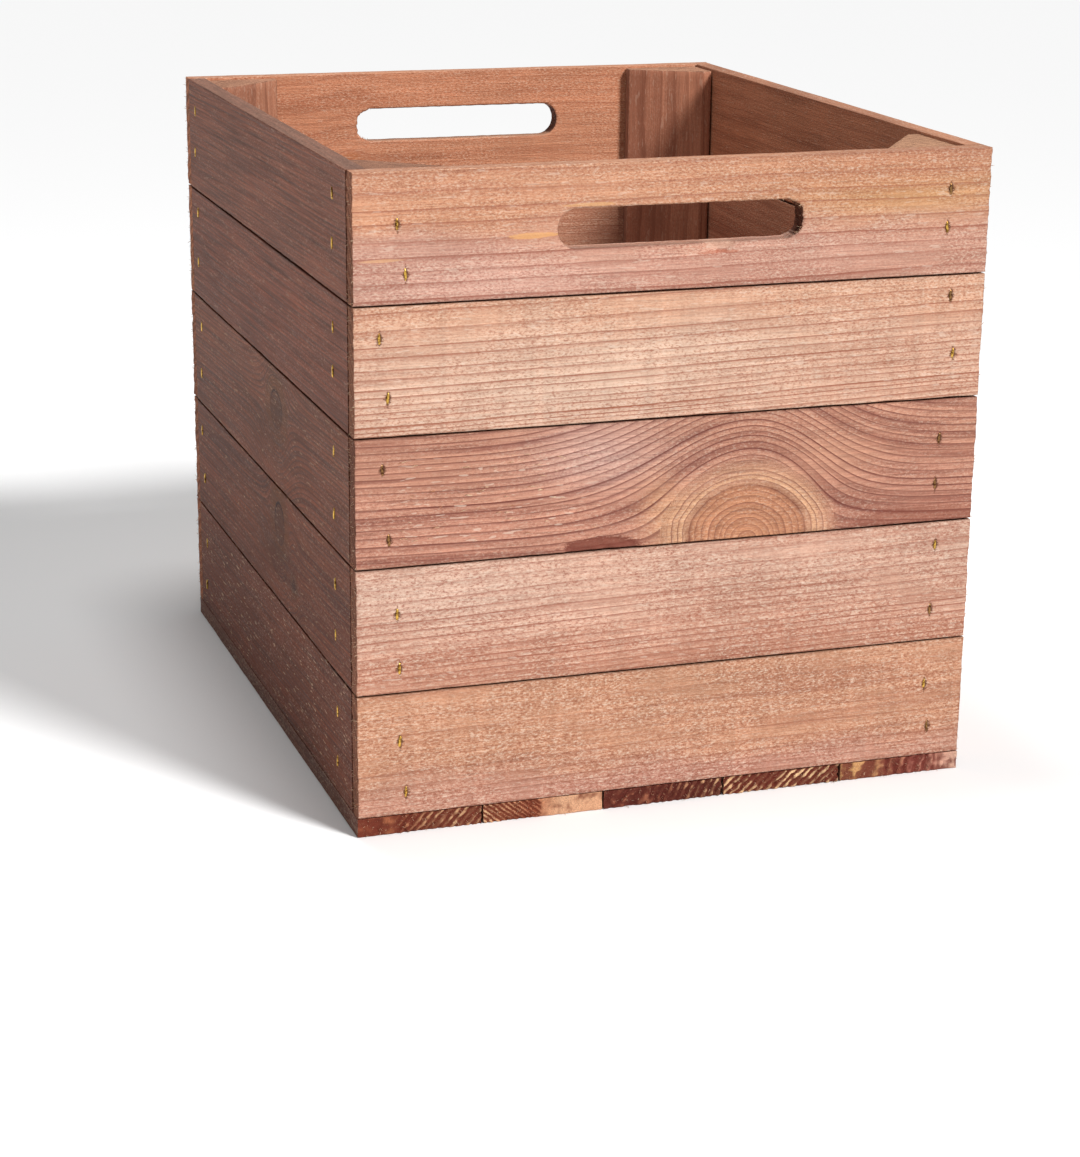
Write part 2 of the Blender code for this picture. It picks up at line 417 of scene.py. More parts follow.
class Graph:
    """Short calls for building one material's nodes."""

    def __init__(self, name):
        self.material = bpy.data.materials.new(name)
        self.material.use_nodes = True
        self.tree = self.material.node_tree
        self.tree.nodes.clear()

    def add(self, kind, inputs, output=0, **settings):
        node = self.tree.nodes.new(kind)
        for key, value in settings.items():
            setattr(node, key, value)
        for key, value in inputs.items():
            socket = node.inputs[key]
            if isinstance(value, Signal):
                self.tree.links.new(value.socket, socket)
            else:
                socket.default_value = value
        return Signal(self, node.outputs[output])

    def math(self, operation, *values):
        return self.add("ShaderNodeMath", dict(enumerate(values)), operation=operation)

    def split(self, vector):
        first = self.add("ShaderNodeSeparateXYZ", {0: vector})
        return [Signal(self, output) for output in first.socket.node.outputs]

    def join(self, x, y, z):
        return self.add("ShaderNodeCombineXYZ", {0: x, 1: y, 2: z})

    def millimetres(self):
        """The place on the piece, in mm along its own axes."""
        place = self.add("ShaderNodeTexCoord", {}, output=3)
        return self.shade(place, 1 / MM)

    def cloud(self, vector, per_mm, seed, detail=2.0, roughness=0.5):
        """Noise from 0 to 1, with per_mm cells to a millimetre along each axis."""
        moved = self.add(
            "ShaderNodeVectorMath",
            {0: vector, 1: per_mm, 2: (seed * 3.7, seed * 5.3, seed * 9.1)},
            operation="MULTIPLY_ADD",
        )
        return self.add(
            "ShaderNodeTexNoise",
            {"Vector": moved, "Scale": 1.0, "Detail": detail, "Roughness": roughness},
        )

    def mix(self, factor, first, second, blend="MIX"):
        return self.add(
            "ShaderNodeMix", {0: factor, 6: first, 7: second}, output=2,
            data_type="RGBA", blend_type=blend,
        )

    def ramp(self, value, stops):
        """A colour that changes from stop to stop, each a share and a 0 to 255 colour."""
        ramp = self.add("ShaderNodeValToRGB", {0: value})
        elements = ramp.socket.node.color_ramp.elements
        while len(elements) > 1:
            elements.remove(elements[-1])
        for index, (share, colour) in enumerate(stops):
            element = elements[0] if index == 0 else elements.new(share)
            element.position = share
            element.color = linear(colour)
        return ramp

    def shade(self, colour, factor):
        """A colour, or another vector, times a factor."""
        return self.add("ShaderNodeVectorMath", {0: colour, 3: factor}, operation="SCALE")

    def finish(self, colour, roughness, height, **plain):
        """Join the colour, roughness and relief (in mm) to the surface."""
        bump = self.add(
            "ShaderNodeBump", {"Height": height, "Strength": 1.0, "Distance": MM},
        )
        inputs = {"Base Color": colour, "Roughness": roughness, "Normal": bump}
        shader = self.add("ShaderNodeBsdfPrincipled", {**inputs, **plain})
        output = self.tree.nodes.new("ShaderNodeOutputMaterial")
        self.tree.links.new(shader.socket, output.inputs["Surface"])
        return self.material


EVEN = (1, 1, 1)
PALE_SPECK = (246, 222, 200)
PALE_PORE = (226, 190, 150)
STAPLE_STAIN = (104, 62, 40)
WARM_LIGHT = (255, 190, 140)  # painted warm light: the tint the wood inside the crate is multiplied by
INNER_WARMTH = 0.27
EXPOSURE = 0.71  # suits the looks' colours to the scene's light


def growth_rings(g, p, look, sizes):
    """The ring number, ring spacing, small unevenness and knots' reaches at each point.

    Rings are lines of equal level, which lean, wander and part round the knots.
    """
    length, width, thickness = sizes
    x, y, z = g.split(p)
    drift = g.cloud(p, (0.006, 0.022, 0.022), look.seed, 1.0) - 0.5
    ripple = g.cloud(p, (0.035, 0.22, 0.22), look.seed + 1, 2.0) - 0.5
    level = y - (x - length / 2) * look.slope + (z - thickness) * look.tilt
    level = level + drift * (look.wander * 5) + ripple * (look.wander * 0.6)
    cores = []
    for knot in look.knots:
        over = x - knot.x
        up = y - knot.y
        reach = g.math("SQRT", (over / knot.wide) ** 2.0 + (up / knot.tall) ** 2.0)
        aside = (over / knot.reach[1]).highest(over / -knot.reach[0])
        pull = g.math("EXPONENT", -(aside * aside)) * 0.97 / (reach.highest(1.0) ** 1.2)
        level = level - (level - knot.y) * pull
        cores.append((knot, reach + ripple * 0.03 + drift * 0.40))
    gap_low, gap_high = look.gaps
    thin = 1 / gap_high - 1 / gap_low
    count = level / gap_low + level * level.size() * (thin / (2 * width))
    gap = 1 / g.math("MAXIMUM", y / width * thin + 1 / gap_low, 0.02)
    for knot, uneven in cores:
        inside = uneven.step(1.04, 0.96)
        count = count + (uneven * (knot.tall / knot.gap) - count) * inside
    wobble = g.cloud(g.join(count * 0.37, look.seed * 1.7, 0.0), EVEN, look.seed + 2, 1.0)
    return count + wobble * 1.3, gap, ripple, cores


def zone_mask(x, y, zone):
    """1 inside a left, right, bottom and top, and soft outside."""
    left, right, bottom, top = zone
    across = x.step(left - 12, left + 12) * x.step(right + 20, right - 20)
    return across * (y.step(bottom - 5, bottom + 5) * y.step(top + 6, top - 6))


def end_grain(g, look, x, y, z, sizes, blotch, pores, stripe):
    """The colour of the sawn ends, with painted shade in the troughs and hollows of a broken one."""
    length, width, _ = sizes
    ink = linear(look.end_ink)
    end = look.end or tuple(value * 0.66 for value in look.low)
    base = g.ramp(y / width + (blotch - 0.5) * 0.3, look.ends or ((0.5, end),))
    if not look.ridges:
        base = g.mix(stripe * 0.55, base, ink)
    for start, stop, gap, lean, deep in look.ridges:
        inside = y.step(start - 2, start + 1) * y.step(stop + 2, stop - 1)
        shift = (pores - 0.5) * 0.5 + (blotch - 0.5) * 1.2
        turn = g.math("FRACT", (y + z * lean) / gap + shift)
        # painted shade: the troughs that the geometry sinks between the ridges are painted dark
        trough = (turn * 2 - 1).size().step(0.62, 0.38)
        base = g.mix(trough * inside * (deep * 0.75), base, ink)
    base = g.shade(base, (pores - 0.5) * 1.8 + (blotch - 0.5) * 0.9 + 1.05)
    # painted shade: the deeper a point lies in a broken end, the darker it is painted
    hollow = x.lowest(length - x) + (pores - 0.5) * 0.7
    base = g.mix(hollow.step(*look.end_pits) * look.end_stripe, base, ink)
    return g.mix(pores.step(0.62, 0.70) * 0.45, base, linear(PALE_PORE))


def wood_material(name, look, sizes, staples=(), slot=None):
    """Sawn and stained softwood with its rings, knots, fibres, marks and worn edges."""
    length, width, thickness = sizes
    seed = look.seed
    g = Graph(name)
    p = g.millimetres()
    x, y, z = g.split(p)
    normal_x, normal_y, normal_z = g.split(g.add("ShaderNodeTexCoord", {}, output=1))
    count, gap, ripple, cores = growth_rings(g, p, look, sizes)
    part = y / width

    # Ring lines, each of its own strength, with a soft shadow on one side.
    ring = g.math("FLOOR", count)
    dice = g.add("ShaderNodeTexWhiteNoise", {"W": ring + seed * 0.13}, noise_dimensions="1D")
    to_line = (1 - g.math("FRACT", count)) * gap
    line = to_line.step(look.line_width, look.line_width * 0.25)
    line = line * (dice * (1 - look.steady) + look.steady)
    shadow = to_line.step(look.line_width * 3.5, 0.0)
    patch = g.cloud(p, (0.013, 0.05, 0.05), seed + 3, 2.0)
    strength = part * (look.lines[1] - look.lines[0]) + look.lines[0]
    strength = strength * patch.step(0.25, 0.6, 0.45 + look.steady / 3, 1.0)

    # Stain: one colour low on the piece and another high, with cloudy changes.
    fibre = g.cloud(p, (0.035, 1.5, 1.5), seed + 4, 3.0, 0.6)
    fine = g.cloud(p, (0.11, 4.2, 4.2), seed + 5, 2.0, 0.6)
    blotch = g.cloud(p, (0.012, 0.03, 0.03), seed + 6, 3.0)
    border = part + (blotch - 0.5) * 0.7 + (patch - 0.5) * 0.5
    split, soft = look.blend
    base = g.mix(border.step(split - soft, split + soft), linear(look.low), linear(look.high))
    # Each ring takes the stain a little differently, and the tone drifts along it.
    tone = g.cloud(g.join(count * 0.75, x * 0.006, seed * 1.9), EVEN, seed + 13, 2.0, 0.6)
    band_ink = look.band_ink or tuple((a + b) / 2 for a, b in zip(look.low, look.line))
    base = g.mix(tone.step(0.48, 0.66) * look.band, base, linear(band_ink))
    base = g.shade(base, (0.5 - tone) * (0.5 * look.band) + (blotch - 0.5) * 0.5 + 1.0)
    calm = 1.0
    for knot, uneven in cores:
        calm = uneven.step(knot.core + 0.1, knot.core - 0.1, 1.0, 0.45) * calm
        halo = uneven.step(1.15, 0.84) * (tone * 0.7 + patch * 0.6).step(0.35, 0.8, 0.35, 0.9)
        base = g.mix(halo, base, linear(knot.halo))
        base = g.mix(uneven.step(knot.core + 0.03, knot.core - 0.05), base, linear(knot.ink))
        base = g.shade(base, (tone - 0.5) * halo * 0.9 + 1.0)
    # Patches of paler or darker colour: some are painted sheen highlights, the others stain.
    for centre_x, centre_y, reach_x, reach_y, tint, amount in look.glows:
        away = ((x - centre_x) / reach_x) ** 2.0 + ((y - centre_y) / reach_y) ** 2.0
        glow = g.math("EXPONENT", -away) * (blotch * 0.8 + 0.6) * amount
        base = g.mix(glow, base, linear(tint))
    grain = (fibre - 0.5) * 0.9 + (fine - 0.5) * 0.5
    base = g.shade(base, grain * look.contrast + 1.0)

    # Torn short fibres: dark and pale specks, and long pale flecks where asked for.
    line_colour = linear(look.line)
    fuzz = g.cloud(p, (0.62, 1.15, 1.15), seed + 7, 2.5, 0.7)
    speckle = g.cloud(p, (0.02, 0.055, 0.055), seed + 8, 2.0).step(0.30, 0.55, 0.35, 1.0)
    speckle = speckle * look.speck
    base = g.mix(fuzz.step(0.50, 0.33) * speckle * 0.70, base, line_colour)
    base = g.mix(fuzz.step(0.50, 0.68) * speckle * 0.60, base, linear(PALE_SPECK))
    flecks = g.cloud(p, (0.13, 0.66, 0.66), seed + 9, 1.5, 0.45).step(0.655, 0.685)
    if look.fleck_zone:
        flecks = flecks * zone_mask(x, y, look.fleck_zone)
    flecks = flecks * look.fleck
    broken = (fibre + fuzz * 0.4).step(0.45, 0.75, 0.45, 1.0)
    base = g.mix(shadow * strength * 0.35, base, line_colour)
    base = g.mix(line * strength * broken * calm, base, line_colour)
    for knot, uneven in cores:
        rim = uneven.step(knot.core - 0.07, knot.core - 0.01)
        rim = rim * uneven.step(knot.core + 0.05, knot.core)
        rim = rim * (patch + fibre * 0.5).step(0.6, 0.95, 0.15, 1.0) * knot.rim_ink
        base = g.mix(rim, base, linear(knot.rim))
    base = g.mix(flecks, base, linear(look.fleck_ink))
    for left, right, bottom, top, ink, amount in look.streaks:
        # a streak along the grain, tapering at its two ends
        along = (x - (left + right) / 2).size() / ((right - left) / 2)
        aside = (y - (bottom + top) / 2 + ripple * 2.0).size() / ((top - bottom) / 2)
        ragged = (fibre - 0.5) * 1.3 + (fuzz - 0.5) * 1.0
        mask = (along * along + aside * aside + ragged).step(1.05, 0.55)
        base = g.mix(mask * amount, base, linear(ink))

    # Saw marks across the grain, and thin slanting scratches.
    saw = g.cloud(p, (0.20, 0.010, 0.02), seed + 10, 3.0) - 0.5
    base = g.shade(base, saw * (0.30 * look.chatter) + 1.0)
    height = fibre * 0.14 + fine * 0.08 + fuzz * (0.30 * look.speck)
    height = height + saw * (0.10 * look.chatter)
    height = height - line * strength * 0.05 + flecks * 0.06
    if look.scratch:
        slanted = g.join(y * 0.50 - x * 0.010, x * 0.012, z * 0.1)
        scratch = g.cloud(slanted, EVEN, seed + 11, 2.0, 0.6)
        base = g.shade(base, (scratch - 0.5) * look.scratch + 1.0)
        height = height + scratch * (0.14 * look.scratch)

    # Edges: the arrises are darkened, partly as dirt and partly as painted shade along the joints and
    # round the slot, and the sawn ends show end grain.
    nearest = (x.lowest(length - x)).lowest(y.lowest(width - y))
    if slot:
        (left, right), centre, radius = slot
        along = g.math("MINIMUM", x.highest(left + radius), right - radius)
        beyond = g.math("SQRT", (x - along) ** 2.0 + (y - centre) ** 2.0) - radius
        nearest = nearest.lowest(beyond)
    # painted shade and dirt: darker within about a millimetre of every edge, joints and slot included
    rubbed = (nearest + (fuzz - 0.5) * 2.6).step(1.2, 0.1)
    base = g.mix(rubbed * 0.4, base, g.shade(base, 0.5))
    sawn_end = normal_x.size().step(0.45, 0.7)
    pores = g.cloud(p, (0.7, 1.6, 1.6), seed + 12, 3.0, 0.7)
    stripe = (to_line / gap).step(0.6, 0.35) * (dice * 0.5 + 0.5)
    ends = end_grain(g, look, x, y, z, sizes, blotch, pores, stripe)
    base = g.mix(sawn_end, base, ends)
    height = height + sawn_end * pores * 0.35

    # Dark torn wood round each staple.
    near_face = z.step(thickness - 2.5, thickness - 1.5)
    for spot_x, spot_y in staples:
        diamond = (x - spot_x).size() / 2.0 + (y - spot_y).size() / 4.2 + (fuzz - 0.5) * 2.2
        base = g.mix(diamond.step(1.25, 0.65) * near_face * 0.8, base, linear(STAPLE_STAIN))

    # A grey-brown colour on the upward faces where a look gives one, and painted warm light on the
    # faces inside the crate.
    if look.rim_ink:
        upper = normal_y.step(0.6, 0.9) * 0.75
        base = g.mix(upper, base, linear(look.rim_ink))
        base = g.shade(base, ((fuzz - 0.5) * 1.6 + (fibre - 0.5) * 1.4) * upper + 1.0)
    # painted warm light: the faces inside the crate are tinted warmer, for the light inside it
    inner = normal_z.step(-0.6, -0.9) * INNER_WARMTH
    base = g.mix(inner, base, linear(WARM_LIGHT), "MULTIPLY")
    base = g.shade(base, EXPOSURE)
    roughness = 0.62 + (fibre - 0.5) * 0.3 + sawn_end * 0.2 - line * 0.08
    return g.finish(base, roughness, height, **{"Specular IOR Level": 0.18})


def metal_material(name, colour, tarnish):
    """Drawn wire: bright, with dull brown patches."""
    g = Graph(name)
    p = g.millimetres()
    dull = g.cloud(p, (0.8, 0.8, 0.5), 3, 3.0)
    drawn = g.cloud(p, (5.0, 5.0, 0.6), 5, 2.0)
    base = g.mix(dull.step(0.42, 0.66), linear(colour), linear(tarnish))
    base = g.shade(base, (drawn - 0.5) * 0.5 + 1.0)
    roughness = dull * 0.35 + 0.18
    return g.finish(base, roughness, drawn * 0.02 + dull * 0.03, Metallic=1.0)


# ---- the boards --------------------------------------------------------------------
FRONT_LOOKS = (
    Look((213, 161, 140), (212, 153, 119), (150, 78, 58), 1, blend=(0.5, 0.22), gaps=(6.8, 8.0),
        lines=(0.95, 0.5), slope=0.006, tilt=1.1, wander=1.3, line_width=1.2, speck=0.75, fleck=0.25,
        dents=((176, 192, 17, 25, 1.7),), end=(172, 112, 84),
        streaks=((76, 103, 28, 31, (238, 176, 116), 0.8), (2, 26, 20, 22, (234, 180, 134), 0.6),
        (102, 132, 42, 44, (236, 182, 122), 0.5), (172, 196, 16, 18, (186, 96, 62), 0.5),
        (177, 193, 18, 24, (232, 184, 158), 0.55)), glows=((290, 40, 60, 9, (216, 164, 104), 0.75),
        (300, 12, 50, 20, (198, 146, 122), 0.4), (60, 8, 70, 14, (224, 180, 164), 0.4),
        (270, 52, 70, 13, (198, 138, 102), 0.65)), band=0.3),
    Look((230, 186, 160), (221, 170, 140), (156, 84, 58), 2, blend=(0.72, 0.2), gaps=(2.7, 11.0),
        lines=(0.95, 0.6), slope=0.02, tilt=0.9, wander=0.8, line_width=1.1, speck=0.85, fleck=0.3,
        end=(172, 114, 86), chatter=1.0, glows=((110, 16, 80, 16, (246, 218, 194), 0.5),
        (170, 34, 90, 14, (238, 204, 178), 0.4), (300, 34, 70, 30, (204, 152, 124), 0.35)), steady=0.6,
        band=0.4),
    Look((206, 146, 122), (206, 148, 122), (112, 52, 44), 3, blend=(0.5, 0.4), gaps=(3.6, 3.4),
        lines=(0.95, 0.95), slope=-0.02, tilt=0.8, wander=1.1, fleck=0.5, fleck_zone=(20, 122, 8, 52),
        fleck_ink=(240, 212, 192), contrast=1.3, dents=((102, 148, -4, 6, 1.1),), end=(150, 96, 74),
        chatter=0.4, knots=(Knot(204, -2.0, 47, 41, core=0.72, reach=(92, 64), gap=2.8,
        ink=(204, 142, 106), halo=(228, 176, 136), rim=(118, 60, 42), rim_ink=0.9),),
        streaks=((104, 150, -3, 7, (124, 60, 46), 0.85), (258, 345, -4, 10, (140, 76, 58), 0.45)),
        glows=((125, 50, 34, 17, (234, 196, 184), 0.55), (158, 16, 12, 18, (236, 182, 134), 0.45),
        (250, 40, 24, 14, (214, 160, 130), 0.5)), steady=0.5, band=0.6, band_ink=(142, 80, 66)),
    Look((206, 152, 126), (218, 173, 150), (154, 84, 62), 4, blend=(0.35, 0.3), gaps=(3.2, 7.0),
        lines=(0.9, 0.5), slope=0.025, tilt=1.0, wander=0.9, line_width=1.1, speck=1.0, fleck=0.3,
        end=(172, 114, 88), chatter=0.8, glows=((40, 48, 60, 16, (242, 208, 188), 0.4),), steady=0.45,
        band=0.4),
    Look((201, 147, 122), (205, 150, 118), (146, 80, 56), 5, blend=(0.25, 0.15), gaps=(3.8, 10.0),
        lines=(0.6, 0.35), slope=0.012, tilt=1.0, wander=1.2, speck=1.0, fleck=0.15, end=(166, 108, 82),
        chatter=0.9, glows=((165, 4, 170, 9, (206, 150, 134), 0.5),), band=0.35),
)
# Painted shade: the left wall's colours are darker and warmer than the other walls', partly the wood's
# own colour and partly shade painted in for its shaded side.
left_wood = partial(Look, line_width=0.9, speck=0.35, contrast=1.3, chatter=0.3)
LEFT_LOOKS = (
    left_wood((160, 94, 69), (164, 98, 73), (80, 42, 28), 11, gaps=(2.2, 2.4), lines=(0.6, 0.6),
        slope=0.018, wander=0.5, fleck_ink=(222, 182, 150), scratch=1.7, band=0.3,
        rim_ink=(128, 98, 84)),
    left_wood((152, 85, 61), (156, 89, 65), (76, 38, 24), 12, gaps=(2.3, 2.2), lines=(0.6, 0.6),
        slope=0.015, wander=0.5, fleck_ink=(222, 182, 150), scratch=1.7, band=0.3),
    left_wood((152, 85, 58), (158, 93, 66), (70, 32, 20), 13, gaps=(2.6, 2.6), lines=(0.8, 0.8),
        slope=0.04, wander=0.9, fleck=0.35, fleck_ink=(222, 182, 142), contrast=1.4, scratch=0.9,
        knots=(Knot(212, 42, 26, 20, core=0.5, reach=(50, 44), gap=2.2, ink=(118, 66, 40),
        halo=(142, 84, 46), rim=(62, 28, 14), rim_ink=1.2),),
        glows=((180, 24, 60, 14, (116, 60, 30), 0.6),), band=0.6),
    left_wood((145, 77, 50), (151, 83, 55), (66, 28, 18), 14, gaps=(2.6, 2.6), lines=(0.8, 0.8),
        slope=0.03, wander=0.9, fleck=0.35, fleck_ink=(222, 182, 142), contrast=1.4, scratch=0.9,
        knots=(Knot(215, 44, 22, 22, core=0.5, reach=(46, 40), gap=2.2, ink=(112, 62, 38),
        halo=(140, 82, 44), rim=(56, 24, 12), rim_ink=1.3), Knot(246, 18, 9, 8, core=0.5,
        reach=(16, 14), gap=1.6, ink=(98, 52, 32), halo=(126, 72, 42), rim=(52, 22, 12), rim_ink=1.2)),
        glows=((200, 26, 50, 18, (112, 56, 28), 0.6),), band=0.6),
    left_wood((142, 73, 47), (146, 77, 51), (66, 30, 18), 15, gaps=(2.4, 2.4), lines=(0.7, 0.7),
        slope=0.03, wander=0.8, speck=0.5, fleck=0.8, fleck_ink=(226, 184, 148), scratch=0.7),
)
back_wood = partial(Look, wander=1.5, fleck=0.3)
BACK_LOOKS = (
    back_wood((218, 158, 124), (216, 154, 120), (158, 90, 62), 21, gaps=(6, 9), lines=(0.5, 0.3),
        slope=-0.01, wander=1.8, speck=0.8, fleck=0.2, end=(206, 134, 100), knots=(Knot(232, 8, 9, 8,
        core=0.5, reach=(20, 20), gap=1.8, ink=(150, 92, 62), halo=(196, 132, 92)),)),
    back_wood((206, 156, 130), (212, 160, 130), (160, 98, 76), 22, gaps=(4, 8), slope=0.015, speck=0.9,
        end=(206, 134, 100)),
    back_wood((192, 136, 112), (200, 146, 122), (140, 84, 68), 23, gaps=(5, 4), lines=(0.8, 0.8),
        slope=0.01, wander=2.2, speck=0.6, end=(184, 118, 90),
        knots=(Knot(96, 30, 20, 15, core=0.6, reach=(50, 46)),)),
    back_wood((208, 160, 136), (212, 164, 138), (166, 104, 82), 24, gaps=(7, 6), lines=(0.6, 0.6),
        slope=-0.02, speck=1.0, fleck=0.2, end=(198, 128, 96)),
    back_wood((198, 146, 120), (204, 150, 122), (154, 94, 72), 25, gaps=(5, 9), lines=(0.6, 0.4),
        slope=0.01, speck=1.0, end=(198, 128, 96)),
)
RIGHT_LOOKS = (
    Look((200, 140, 108), (204, 144, 112), (146, 88, 66), 31, gaps=(9, 9), lines=(0.4, 0.4), wander=1.6,
        speck=0.45, scratch=0.4, chatter=0.4),
    Look((204, 150, 124), (208, 154, 126), (156, 96, 74), 32, gaps=(4, 7), lines=(0.7, 0.5),
        slope=0.012, wander=1.6, speck=0.8),
    Look((190, 134, 110), (198, 142, 116), (138, 82, 64), 33, lines=(0.7, 0.7), wander=2.2, speck=0.6,
        knots=(Knot(262, 24, 19, 15, core=0.6, reach=(48, 40)),
        Knot(70, 50, 10, 9, core=0.5, reach=(20, 20), gap=1.8, ink=(128, 78, 54)))),
    Look((206, 154, 130), (210, 158, 132), (160, 98, 78), 34, gaps=(6, 4), lines=(0.6, 0.7),
        slope=-0.015, wander=1.5, speck=0.9),
    Look((196, 144, 120), (202, 150, 124), (150, 92, 72), 35, gaps=(7, 6), lines=(0.6, 0.5), wander=1.7,
        speck=1.0),
)
slat_wood = partial(Look, speck=0.9, fleck=0.15)
SLAT_LOOKS = (
    slat_wood((150, 96, 74), (156, 102, 78), (100, 54, 38), 41, gaps=(4.0, 4.0), tilt=1.4, wander=1.6,
        ends=((0.0, (140, 70, 46)), (0.3, (166, 98, 66)), (0.7, (224, 174, 130))), end_stripe=0.9,
        end_ink=(116, 50, 34), ridges=((0, 12, 30, 0, 0.7), (20, 66, 4.4, 0.9, 1.15))),
    slat_wood((158, 106, 82), (186, 136, 108), (104, 58, 42), 42, gaps=(2.8, 9), tilt=-1.5, wander=1.0,
        ends=((0.0, (230, 182, 138)), (0.4, (206, 130, 92)), (0.6, (232, 178, 140)),
        (1.0, (226, 170, 132))), end_stripe=0.9, end_ink=(124, 54, 34), end_pits=(0.55, 1.2),
        ridges=((0, 30, 3.2, -1.2, 1.1),)),
    slat_wood((132, 80, 62), (138, 86, 66), (84, 44, 32), 43, gaps=(5, 6), tilt=0.7, wander=2.2,
        speck=1.0, fleck=0.25, ends=((0.0, (150, 84, 62)), (0.5, (176, 108, 78)),
        (1.0, (232, 186, 138))), end_stripe=0.95, end_ink=(96, 38, 28), end_pits=(0.25, 0.8),
        ridges=((0, 22, 9, 0.8, 0.9), (26, 66, 4.2, 0.5, 1.15))),
    slat_wood((162, 110, 84), (166, 114, 86), (100, 56, 38), 44, gaps=(4.0, 4.0), tilt=1.5, wander=0.9,
        ends=((0.0, (240, 192, 144)), (1.0, (248, 206, 156))), end_stripe=0.95, end_ink=(112, 46, 32),
        ridges=((0, 66, 5.0, 1.1, 1.25),)),
    slat_wood((150, 98, 76), (158, 106, 82), (100, 56, 42), 45, gaps=(7, 5), tilt=0.5, wander=2.4,
        speck=1.0, fleck=0.2, ends=((0.0, (226, 176, 112)), (0.35, (200, 138, 100)),
        (0.6, (176, 106, 90)), (0.85, (206, 146, 124)), (1.0, (240, 196, 172))), end_stripe=0.85,
        end_ink=(118, 50, 40), ridges=((0, 24, 11, 0.3, 0.6), (26, 54, 6, 0.2, 1.1))),
)
post_wood = partial(Look, wander=1.5, speck=0.3)
POST_LOOKS = {
    "front_left": post_wood((150, 104, 84), (158, 110, 88), (100, 62, 48), 51, gaps=(4, 4), tilt=0.9,
        end=(150, 108, 86)),
    "front_right": post_wood((178, 126, 102), (184, 130, 106), (124, 78, 60), 52, gaps=(4, 4), tilt=0.5,
        end=(184, 138, 108)),
    "back_left": post_wood((186, 130, 104), (192, 136, 108), (128, 78, 60), 53, gaps=(3.5, 3.5),
        tilt=-0.8, end=(176, 128, 102)),
    "back_right": post_wood((196, 138, 112), (202, 144, 116), (142, 90, 70), 54, gaps=(3.2, 3.2),
        tilt=1.2, end=(184, 134, 106)),
}
LOOKS = {
    "front": FRONT_LOOKS, "back": BACK_LOOKS, "left": LEFT_LOOKS, "right": RIGHT_LOOKS,
    "bottom": SLAT_LOOKS,
}


def staple_dents(points, spots, thickness):
    """Sink the outer face in a small diamond round each staple."""
    x, y, z = points.T
    outer = z > thickness - 1.5
    for spot_x, spot_y in spots:
        diamond = np.abs(x - spot_x) / 1.8 + np.abs(y - spot_y) / 4.2
        z[outer] -= (0.9 * smooth(1 - diamond, 0.0, 0.7))[outer]


def carve_dents(points, dents, thickness, seed):
    """Sink torn patches into the outer face."""
    x, y, z = points.T
    outer = z > thickness - 2.5
    torn = cloud(points, (3.5, 2.2, 50), seed)
    for left, right, bottom, top, depth in dents:
        across = np.abs(x - (left + right) / 2) / ((right - left) / 2)
        up = np.abs(y - (bottom + top) / 2) / ((top - bottom) / 2)
        inside = smooth(1.15 - np.hypot(across, up) + 0.25 * torn, 0.0, 0.35)
        z[outer] -= (depth * inside * (0.8 + 0.4 * torn))[outer]


def end_ridges(points, length, look):
    """Break the sawn ends into steps that follow the growth rings."""
    x, y, z = points.T
    depth = np.zeros(len(points))
    for start, stop, gap, lean, deep in look.ridges:
        inside = smooth(y, start - 2, start + 1) * smooth(y, stop + 2, stop - 1)
        ragged = cloud(points, (60, 3.0, 2.0), look.seed + 71)
        wave = np.abs(((y + lean * z) / gap + 0.35 * ragged) % 1.0 * 2 - 1)
        depth += inside * deep * (1 - smooth(wave, 0.2, 0.6))
    torn = cloud(points, (60, 1.7, 1.5), look.seed + 72)
    chunks = smooth(cloud(points, (60, 7, 4), look.seed + 73), -0.2, 0.7)
    if look.ridges:
        depth += 0.35 + 0.35 * torn + 0.5 * chunks
    x += smooth(x, 1.7, 0) * depth
    x -= smooth(x, length - 1.7, length) * depth


def roughen(points, length, width, thickness, seed):
    """Ragged saw cuts at the two ends, uneven long edges and gently wavy faces."""
    x, y, z = points.T
    sawn = cloud(points, (40, 1.6, 2.4), seed + 60)
    chewed = cloud(points, (40, 6, 5), seed + 61)
    start, finish = smooth(x, 1.6, 0), smooth(x, length - 1.6, length)
    x += start * (0.30 + 0.26 * sawn + 0.2 * chewed)
    x -= finish * (0.35 + 0.30 * sawn + 0.25 * chewed)
    edge = 0.02 + 0.20 * np.abs(cloud(points, (34, 200, 5), seed + 62))
    y += smooth(y, 1.6, 0) * edge
    y -= smooth(y, width - 1.6, width) * edge
    wave = cloud(points, (60, 16, 60), seed + 63)
    z += np.where(z > thickness / 2, -1, 1) * (0.10 + 0.10 * wave)


SLOT_RADIUS = 9.8
SLOT_LENGTH = 127.2
SLOT_BELOW_RIM = 31.0


def boards_of(side):
    """Each board or slat of a side: its node, look, matrix, sizes and hand slot.

    A slot is its two ends along the board, its middle height and its radius.
    """
    for number, look in enumerate(LOOKS[side], 1):
        node = f"{side}_slat_{number}" if side == "bottom" else f"{side}_board_{number}"
        place, sizes = place_of(node, side)
        slot = None
        if number == 1 and side in ("front", "back"):
            ends = (sizes[0] - SLOT_LENGTH) / 2, (sizes[0] + SLOT_LENGTH) / 2
            slot = ends, sizes[1] - SLOT_BELOW_RIM, SLOT_RADIUS
        yield node, look, place, sizes, slot


def board_spots(node, side, look, sizes):
    """The staples that fall on a board or slat, in its own axes."""
    if side == "bottom":
        return slat_spots(sizes[1], look.seed)
    low, high = (corner[2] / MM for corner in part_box(node))
    spots = wall_spots(side, sizes[0])
    return [(along, height - low) for along, height in spots if low < height < high]


